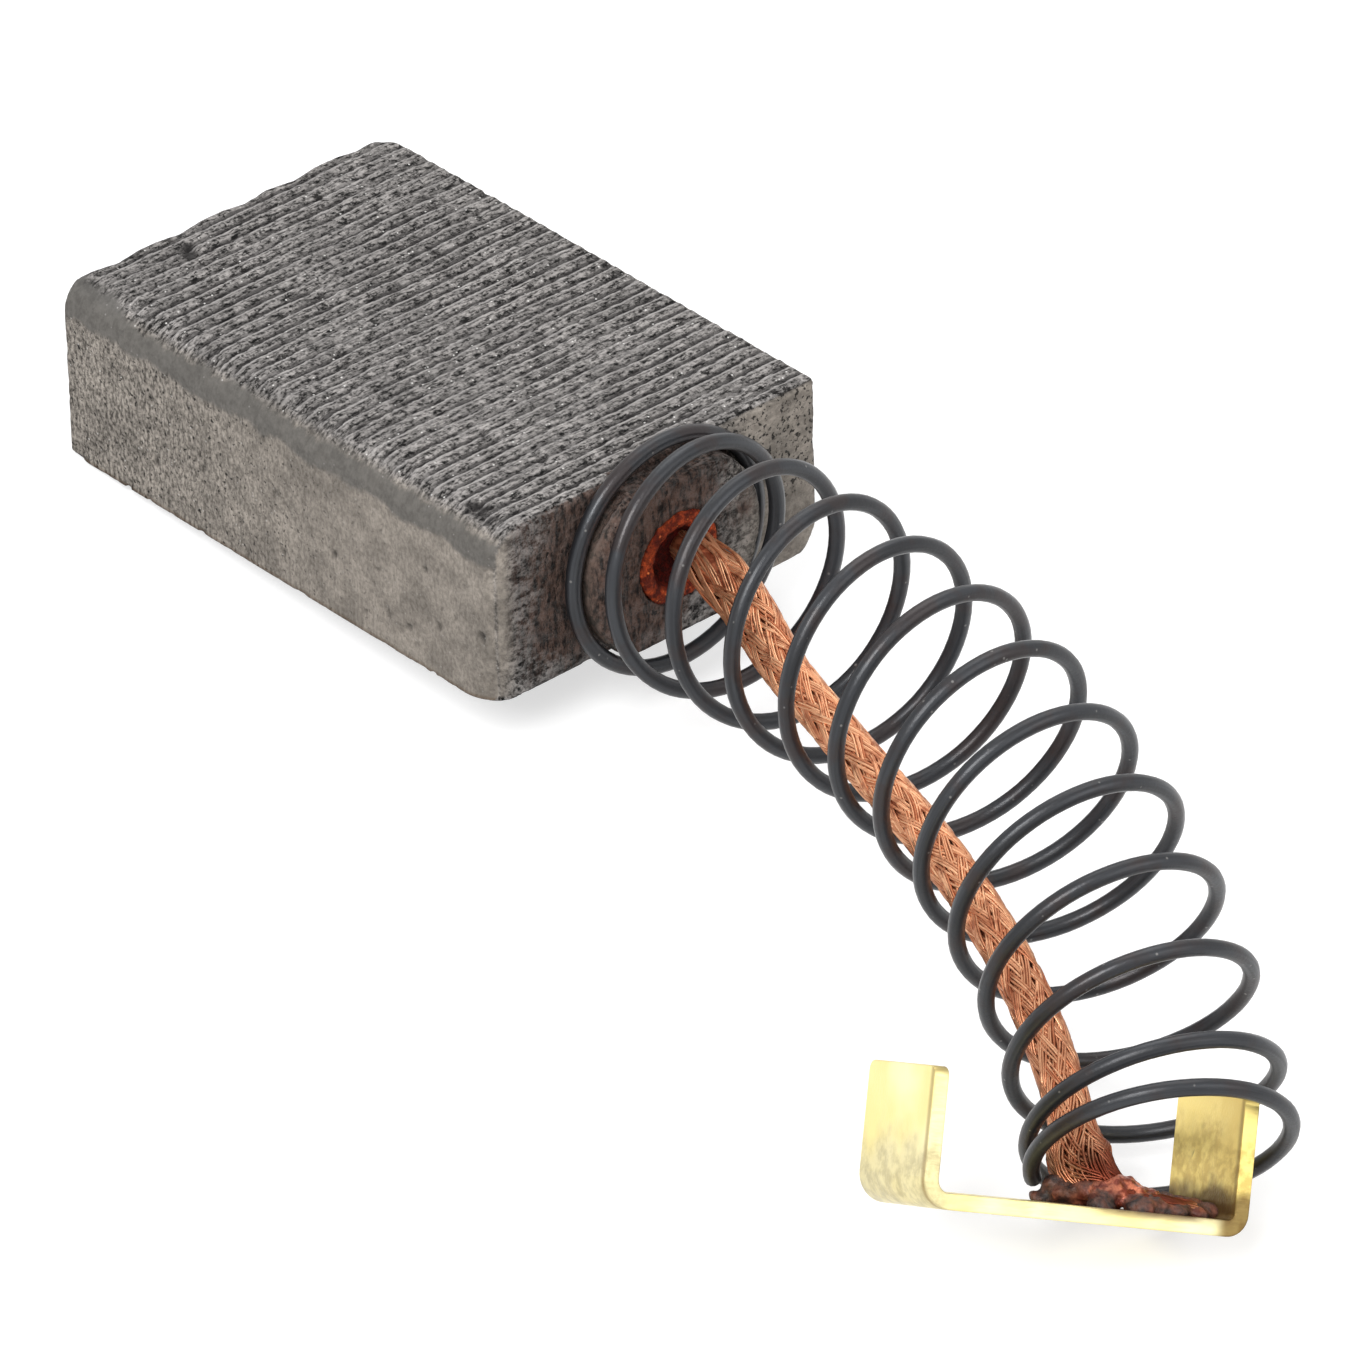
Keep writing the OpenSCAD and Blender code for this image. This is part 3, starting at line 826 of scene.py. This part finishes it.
def powder_plug():
    """Half outline spun round the bore's axis, then grained."""
    outline = (
        (BOSS_HEIGHT - PLUG_DEPTH + 0.02, 0.0), (BOSS_HEIGHT - PLUG_DEPTH + 0.02, PLUG_RADIUS),
        (BOSS_HEIGHT - 0.05, PLUG_RADIUS + 0.02), (BOSS_HEIGHT + 0.02, PLUG_RADIUS - 0.12),
        (BOSS_HEIGHT + 0.04, HOLLOW_RADIUS + 0.24), (BOSS_HEIGHT - 0.06, HOLLOW_RADIUS + 0.02),
        (BOSS_HEIGHT - 0.4, HOLLOW_RADIUS - 0.06),
        (BOSS_HEIGHT - HOLLOW_DEPTH, HOLLOW_RADIUS - 0.3),
        (BOSS_HEIGHT - HOLLOW_DEPTH - 0.02, 0.0),
    )
    bm = bmesh.new()
    verts = [bm.verts.new(seat + Vector((x, 0, r))) for x, r in outline]
    edges = [bm.edges.new(pair) for pair in zip(verts, verts[1:])]
    bmesh.ops.spin(bm, geom=verts + edges, cent=seat, axis=(1, 0, 0), angle=tau, steps=72,
                   use_merge=True, use_duplicate=False)
    bmesh.ops.remove_doubles(bm, verts=bm.verts, dist=1e-4)
    bmesh.ops.recalc_face_normals(bm, faces=bm.faces)
    plug = loose_piece("plug", bm)
    remesh = plug.modifiers.new("grain", "REMESH")
    remesh.mode, remesh.voxel_size = "VOXEL", PLUG_GRAIN
    mesh = baked(plug)
    # Where the painted shade inside the hollow lies
    hollow_shade = [between(hypot(v.co.y - seat.y, v.co.z - seat.z), HOLLOW_RADIUS + 0.12,
                    HOLLOW_RADIUS - 0.1) for v in mesh.vertices]
    hidden = seat.x + BOSS_HEIGHT - HOLLOW_DEPTH - 0.1
    roughened(mesh, lambda p: 0.0 if p.x < hidden else
              0.06 * lumps(p, 0.25, 51, 2) + 0.05 * speck(p, 0.6, 52))
    marked(mesh, "hollow_shade", hollow_shade)
    shade_smooth(mesh)
    new_piece("powder_ring", mesh, BLOCK_PLACE, powder_finish(),
              "tamping_plug")


# ---------------------------------------------------------------------------
# Spring
# ---------------------------------------------------------------------------


def along(m, w):
    """Share of the spring's axis at a share of its turns; the pitch opens over w at each end."""
    if m < w:
        return m * m / (2 * w * (1 - w))
    if m > 1 - w:
        return 1 - (1 - m) ** 2 / (2 * w * (1 - w))
    return (m - w / 2) / (1 - w)


def coil_frame(t):
    """Way, side and lift of the spring's bowed axis."""
    way = mix(Vector((1, 0, 0)), curve_way(SPRING_AXIS, t), share(t / SETTLE_SHARE)).normalized()
    side = Vector((0, 0, 1)).cross(way).normalized()
    return way, side, way.cross(side)


def round_axis(t, angle):
    """Unit vector out from the spring's axis at an angle in degrees."""
    _, side, lift = coil_frame(t)
    return cos(radians(angle)) * side + sin(radians(angle)) * lift


def wire_point(n):
    """Centre of the wire after n turns."""
    t = along(share((n - FIRST_TURN) / ACTIVE_TURNS), OPENING_SHARE)
    return curve_point(SPRING_AXIS, t) + COIL_RADIUS * round_axis(t, START_ANGLE + 360 * n)


def poly_curve(name, lines, radius, resolution):
    """A curve object of round wires through lists of points in millimetres."""
    data = bpy.data.curves.new(name, "CURVE")
    data.dimensions, data.bevel_depth, data.bevel_resolution = "3D", radius, resolution
    data.use_fill_caps = True
    for line in lines:
        spline = data.splines.new("POLY")
        spline.points.add(len(line) - 1)
        for target, place in zip(spline.points, line):
            target.co = (*place, 1.0)
    return linked(name, data)


def spring():
    """The wire swept along its bowed helix, with its closed end turns."""
    steps = ceil((LAST_TURN - START_TURN) * POINTS_PER_TURN)
    line = [wire_point(mix(START_TURN, LAST_TURN, i / steps)) for i in range(steps + 1)]
    mesh = baked(poly_curve("wire", [line], WIRE_RADIUS - WIRE_MARKS, 4))
    mark_flow(mesh, len(line), step=tau * COIL_RADIUS / POINTS_PER_TURN, stretch=7.0)
    roughened(mesh, lambda p: WIRE_MARKS * speck(p, 0.9, 61))
    shade_smooth(mesh)
    kept_inside(new_piece("spring_wire", mesh, BLOCK_PLACE, spring_finish(),
                          "compression_spring"))


# ---------------------------------------------------------------------------
# Pigtail
# ---------------------------------------------------------------------------

# Two layers of carriers, one per hand, with their wires side by side
CARRIERS = 12
WIRES_PER_CARRIER = 4
STRAND_RADIUS = 0.048
BRAID_PITCH = 13.0
STRAND_STEP = 0.24
# Length of the looser start, its shift off the boss's centre, and the flare over the weld
ROOT_LOOSE = 3.5
ROOT_SHIFT = (0.0, 0.75, -0.05)
FOOT_FLARE = 1.0
# Steps of its path, passes that smooth it, and steps at the tail that the core leaves out
FREE_STEPS, FOOT_STEPS = 60, 20
SMOOTHING_PASSES = 6
CORE_CUT = 12


def braid_side(t):
    """The way from the spring's axis to the braid."""
    return round_axis(t, mix(ROOT_SWING, FOOT_SWING, t / FREE_SHARE))


def free_point(t):
    """Centre of the free braid, on the inner side of the spring's bow."""
    off = LIE_OFF * sin(radians(90 * share(t / 0.5))) - LIE_RELIEF * smooth((t - 0.55) / 0.45)
    return curve_point(SPRING_AXIS, t) + off * braid_side(t)


def braid_stations():
    """Centre, aim, width and thickness of the braid from the plug to the welded tail."""
    root = seat + Vector((BOSS_HEIGHT - HOLLOW_DEPTH - 0.1, 0, 0)) + Vector(ROOT_SHIFT)
    mouth = root + Vector((HOLLOW_DEPTH + 0.11, 0, 0))
    made = [(mix(root, mouth, i / 3), braid_side(0), ROOT_WIDTH - 0.4, BRAID_THICKNESS - 0.2)
            for i in range(3)]
    for i in range(FREE_STEPS + 1):
        t = mix(LEAVE_SHARE, FREE_SHARE, i / FREE_STEPS)
        width = mix(ROOT_WIDTH, BRAID_WIDTH, smooth(4 * i / FREE_STEPS))
        centre = free_point(t) + Vector(ROOT_SHIFT) * (1 - smooth(5 * i / FREE_STEPS))
        made.append((centre, braid_side(FREE_SHARE * i / FREE_STEPS), width, BRAID_THICKNESS))
    end = made[-1][0]
    way = (end - made[-2][0]).normalized()
    height = TAIL_THICKNESS / 2 + SEAT_GAP
    foot = (end, end + way * FOOT_REACH, on_clip(1.7, TAIL_LINE, height),
            on_clip(4.35, TAIL_LINE, height))
    down = clip_turn @ Vector((0, 0, -1))
    for i in range(1, FOOT_STEPS + 1):
        s = i / FOOT_STEPS
        aim = mix(braid_side(FREE_SHARE), down, smooth(s))
        flare = FOOT_FLARE * sin(pi * share(s / 0.75)) ** 2
        centre = curve_point(foot, s) + aim * 0.35 * flare
        made.append((centre, aim, mix(BRAID_WIDTH, TAIL_THICKNESS, smooth(s / 0.8)) + flare,
                     mix(BRAID_THICKNESS, TAIL_WIDTH, smooth(s))))
    return made


def rested(point):
    """A strand's point kept from sinking into the clip."""
    place = clip_turn.transposed() @ (point - clip_origin)
    return on_clip(place.x, place.y, max(place.z, STRAND_RADIUS))


class Braid:
    """The braid's centre line, evenly spaced, with its oval at each place."""

    def __init__(self):
        """Spaces the stations evenly, then smooths their centres."""
        stations = braid_stations()
        lengths = [0.0]
        for a, b in zip(stations, stations[1:]):
            lengths.append(lengths[-1] + (b[0] - a[0]).length)
        self.length = lengths[-1]
        self.count = ceil(self.length / STRAND_STEP)
        self.step = self.length / self.count
        places, j = [], 0
        for i in range(self.count + 1):
            s = i * self.step
            while j < len(stations) - 2 and lengths[j + 1] < s:
                j += 1
            part = share((s - lengths[j]) / (lengths[j + 1] - lengths[j]))
            places.append([mix(a, b, part) for a, b in zip(stations[j], stations[j + 1])])
        for _ in range(SMOOTHING_PASSES):
            inner = [(a[0] + 2 * b[0] + c[0]) / 4
                     for a, b, c in zip(places, places[1:], places[2:])]
            for place, centre in zip(places[1:-1], inner):
                place[0] = centre
        self.ovals = []
        for i, (centre, aim, width, thickness) in enumerate(places):
            way = (places[min(i + 1, self.count)][0] - places[max(i - 1, 0)][0]).normalized()
            one = (aim - way * aim.dot(way)).normalized()
            self.ovals.append((centre, one, way.cross(one), width / 2, thickness / 2))

    def point(self, i, angle, inset):
        """A place round the braid's oval, so many millimetres inside it."""
        centre, one, two, wide, thick = self.ovals[i]
        return rested(centre + one * cos(angle) * max(wide - inset, 0.03)
                      + two * sin(angle) * max(thick - inset, 0.03))


def strand_line(braid, turn, carrier, wire):
    """One strand's points: round the oval, over and under the carriers that go the other way."""
    gap = tau / CARRIERS
    seed = carrier * 7.3 + wire * 2.1 + turn * 31
    bundle = carrier * 3.9 + turn * 17
    line = []
    for i in range(braid.count + 1):
        s = i * braid.step
        loose = between(s, 5.0, 1.2)
        sweep = tau * (s - 0.8 * ROOT_LOOSE * (1 - exp(-s / ROOT_LOOSE))) / BRAID_PITCH
        spread = mix(0.95, 0.55, loose)
        lane = (wire - (WIRES_PER_CARRIER - 1) / 2) * gap * spread / WIRES_PER_CARRIER
        crossing = 2 * carrier + turn * 2 * sweep / gap
        over = turn * sin(pi * (crossing + 0.5) / 2) * (1 - 0.5 * loose)
        sway = noise.noise(Vector((s / 1.7, bundle, 4.4)))
        wobble = noise.noise(Vector((s / 0.9, seed, 0.3)))
        stray = noise.noise(Vector((s / 1.3, seed, 9.1)))
        angle = (carrier * gap + turn * sweep + lane * (1 + 0.5 * wobble)
                 + 0.22 * sway + 0.1 * wobble)
        under = 0.14 * loose if turn < 0 else 0.0
        inset = (STRAND_RADIUS * (1.6 - 1.1 * over) + under
                 + 0.04 * stray + (0.05 + 0.15 * loose) * sway)
        line.append(braid.point(i, angle, max(inset, STRAND_RADIUS)))
    return line


def mark_strands(mesh, strands, weld):
    """Gives each strand its own tint, and darkens the strands near the weld."""
    per_strand = len(mesh.vertices) // strands
    tints = [share(0.5 + 0.9 * noise.noise(Vector((i * 3.7, 0.5, 0.2)))) for i in range(strands)]
    marked(mesh, "strand", [tints[v.index // per_strand] for v in mesh.vertices])
    reach = [(v.co - weld).length + 0.6 * speck(v.co, 0.6, 71) for v in mesh.vertices]
    marked(mesh, "burnt", [0.3 * between(r, 16.0, 5.0) + 0.7 * between(r, 2.8, 1.0) for r in reach])


def pigtail():
    """The two hands of the braid over their core."""
    braid = Braid()
    foot = on_clip(2.6, TAIL_LINE, 0.5)
    hands = []
    for turn, name in ((1, "braid_right_hand"), (-1, "braid_left_hand")):
        lines = [strand_line(braid, turn, carrier, wire)
                 for carrier in range(CARRIERS) for wire in range(WIRES_PER_CARRIER)]
        mesh = baked(poly_curve(name, lines, STRAND_RADIUS, 0))
        mark_strands(mesh, len(lines), foot)
        shade_smooth(mesh)
        hands.append((name, mesh))
    copper = copper_finish()
    core_line = [rested(oval[0]) for oval in braid.ovals[:-CORE_CUT]]
    core_mesh = baked(poly_curve("core", [core_line], CORE_RADIUS, 3))
    shade_smooth(core_mesh)
    new_piece("braid_core", core_mesh, BLOCK_PLACE, core_finish(), "pigtail")
    for name, mesh in hands:
        new_piece(name, mesh, BLOCK_PLACE, copper, "pigtail")


# ---------------------------------------------------------------------------
# Terminal clip and its weld
# ---------------------------------------------------------------------------


def terminal_clip():
    """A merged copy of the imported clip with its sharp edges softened."""
    bm = bmesh.new()
    bm.from_mesh(frame["nodes"]["terminal_clip"].data)
    bmesh.ops.remove_doubles(bm, verts=bm.verts, dist=1e-7)
    bmesh.ops.transform(bm, matrix=Matrix.Scale(1 / MM, 4) @ CLIP_PLACE.inverted(), verts=bm.verts)
    bmesh.ops.dissolve_limit(bm, angle_limit=radians(2), verts=bm.verts, edges=bm.edges)
    sharp = [e for e in bm.edges if len(e.link_faces) == 2 and e.calc_face_angle() > radians(30)]
    bevelled(bm, sharp, CLIP_BEVEL, 2)
    mesh = bpy.data.meshes.new("clip_strip")
    bm.to_mesh(mesh)
    bm.free()
    new_piece("clip_strip", mesh, CLIP_PLACE, brass_finish(), "terminal_clip")


# Size of the crust's facets, and passes that smooth them
CRUST_GRAIN, CRUST_SMOOTHING = 0.07, 6
# Blobs of weld residue on the clip: x, y, z, radius, share of copper
WELD = (
    (0.4, 3.6, 0.1, 0.34, 0.0), (0.7, 3.4, 0.5, 0.4, 0.0), (1.0, 3.0, 0.3, 0.5, 0.0),
    (1.1, 3.3, 0.9, 0.34, 0.0), (1.4, 2.6, 0.4, 0.6, 0.1), (1.7, 2.9, 0.6, 0.5, 0.2),
    (1.8, 2.0, 0.4, 0.6, 0.5), (2.2, 2.2, 0.6, 0.6, 0.9), (2.7, 1.9, 0.4, 0.55, 0.8),
    (3.2, 2.0, 0.3, 0.5, 0.4), (3.7, 2.1, 0.25, 0.5, 0.0), (4.2, 1.9, 0.2, 0.5, 0.0),
    (4.7, 2.1, 0.2, 0.5, 0.0), (4.9, 1.4, 0.1, 0.4, 0.0), (2.4, 1.1, 0.1, 0.45, 0.1),
    (3.0, 1.2, 0.1, 0.45, 0.0), (3.6, 1.2, 0.1, 0.45, 0.0), (4.3, 1.3, 0.05, 0.45, 0.0),
    (1.3, 1.6, 0.05, 0.4, 0.0),
)


def copper_share(point):
    """Share of copper in the nearest blob of the weld."""
    x, y, z = point
    near = min(WELD, key=lambda b: (
        (b[0] - x) ** 2 + (b[1] - y) ** 2 + (b[2] - z) ** 2 - b[3] ** 2))
    return near[4]


def weld_crust():
    """Flattened blobs grown into one crust."""
    bm = bmesh.new()
    for x, y, z, radius, _ in WELD:
        made = bmesh.ops.create_icosphere(bm, subdivisions=2, radius=radius,
                                          matrix=Matrix.Translation((x, y, z)))
        bmesh.ops.scale(bm, verts=made["verts"], vec=(1.25, 1.15, 0.75),
                        space=Matrix.Translation((-x, -y, -z)))
    crust = loose_piece("crust", bm)
    remesh = crust.modifiers.new("grain", "REMESH")
    remesh.mode, remesh.voxel_size = "VOXEL", CRUST_GRAIN
    soften = crust.modifiers.new("soften", "SMOOTH")
    soften.factor, soften.iterations = 0.5, CRUST_SMOOTHING
    mesh = baked(crust)
    copper = [share(copper_share(v.co) + 0.5 * speck(v.co, 0.4, 83)) for v in mesh.vertices]
    roughened(mesh, lambda p: 0.11 * lumps(p, 0.45, 81, 2) + 0.03 * speck(p, 0.14, 82))
    for vertex in mesh.vertices:
        vertex.co.z = max(vertex.co.z, -0.1)
    marked(mesh, "copper", copper)
    shade_smooth(mesh)
    new_piece("weld_crust", mesh, CLIP_PLACE, crust_finish())


# ---------------------------------------------------------------------------
# Studio
# ---------------------------------------------------------------------------

VIEW_AZIMUTH, VIEW_ELEVATION, VIEW_ROLL = 46.108, 37.562, 3.469
VIEW_DISTANCE = 393.91 * MM
VIEW_AIM = (-0.256 * MM, 0.033 * MM)
LENS = 339.4
WORLD_STRENGTH = 0.55
# Table top: its reach in metres, how far it lies under the part, so that the two don't share a
# surface, and how strongly it shows white
TABLE_REACH, TABLE_DROP, TABLE_WHITE = 1.5, 0.02 * MM, 0.62


def shown_white(nodes, links):
    """1 where the camera, or a reflection or refraction, looks at the surface, and 0 elsewhere."""
    path = nodes.new("ShaderNodeLightPath")
    seen = path.outputs["Is Camera Ray"]
    for ray in ("Is Glossy Ray", "Is Transmission Ray"):
        either = nodes.new("ShaderNodeMath")
        either.operation = "MAXIMUM"
        links.new(seen, either.inputs[0])
        links.new(path.outputs[ray], either.inputs[1])
        seen = either.outputs[0]
    return seen


def studio_world(strength):
    """Even white light all round, which shows as white."""
    world = bpy.data.worlds.new("studio")
    world.use_nodes = True
    bpy.context.scene.world = world
    nodes, links = world.node_tree.nodes, world.node_tree.links
    background = nodes["Background"]
    background.inputs["Color"].default_value = (1, 1, 1, 1)
    seen = shown_white(nodes, links)
    level = nodes.new("ShaderNodeMapRange")
    level.inputs["To Min"].default_value = strength
    level.inputs["To Max"].default_value = 1.0
    links.new(seen, level.inputs["Value"])
    links.new(level.outputs["Result"], background.inputs["Strength"])


def table_top():
    """A pale table top that shows white round the part and keeps its shadow."""
    bm = bmesh.new()
    bmesh.ops.create_grid(bm, x_segments=2, y_segments=2, size=TABLE_REACH)
    mesh = bpy.data.meshes.new("table_top")
    bm.to_mesh(mesh)
    bm.free()
    made = linked("table_top", mesh)
    made.location.z = cad_low.z - TABLE_DROP
    material = bpy.data.materials.new("pale_top")
    material.use_nodes = True
    nodes, links = material.node_tree.nodes, material.node_tree.links
    shader = nodes["Principled BSDF"]
    shader.inputs["Base Color"].default_value = (0.5, 0.5, 0.5, 1)
    shader.inputs["Roughness"].default_value = 0.9
    shader.inputs["Specular IOR Level"].default_value = 0.0
    seen = shown_white(nodes, links)
    shader.inputs["Emission Color"].default_value = (1, 1, 1, 1)
    lift = nodes.new("ShaderNodeMath")
    lift.operation = "MULTIPLY"
    lift.inputs[1].default_value = TABLE_WHITE
    links.new(seen, lift.inputs[0])
    links.new(lift.outputs[0], shader.inputs["Emission Strength"])
    mesh.materials.append(material)


def lamp(name, azimuth, elevation, distance, size, power):
    """A soft square lamp that faces the middle of the part."""
    data = bpy.data.lights.new(name, "AREA")
    data.shape, data.size, data.energy = "SQUARE", size, power
    made = linked(name, data)
    back = outward(azimuth, elevation)
    made.location = (cad_low + cad_high) / 2 + back * distance
    made.rotation_euler = back.to_track_quat("Z", "Y").to_euler()


def camera():
    """The camera, far off with a long lens, and rolled a little."""
    data = bpy.data.cameras.new("camera")
    data.lens, data.sensor_width = LENS, 36
    data.clip_start, data.clip_end = 0.01, 10
    made = linked("camera", data)
    back = outward(VIEW_AZIMUTH, VIEW_ELEVATION)
    level = Vector((0, 0, 1)).cross(back).normalized()
    lift = back.cross(level)
    right = level * cos(radians(VIEW_ROLL)) + lift * sin(radians(VIEW_ROLL))
    up = back.cross(right)
    aim = (cad_low + cad_high) / 2 + right * VIEW_AIM[0] + up * VIEW_AIM[1]
    made.matrix_world = frame_matrix(aim + back * VIEW_DISTANCE, right, up, back)
    bpy.context.scene.camera = made


camera()
studio_world(WORLD_STRENGTH)
table_top()
lamp("key", 20, 50, 0.6, 0.28, 3.2)
lamp("fill", 110, 35, 0.7, 0.5, 1.2)
lamp("back", 230, 55, 0.7, 0.5, 1.6)
bpy.context.scene.view_settings.view_transform = "Standard"

carbon_block()
powder_plug()
spring()
pigtail()
terminal_clip()
weld_crust()
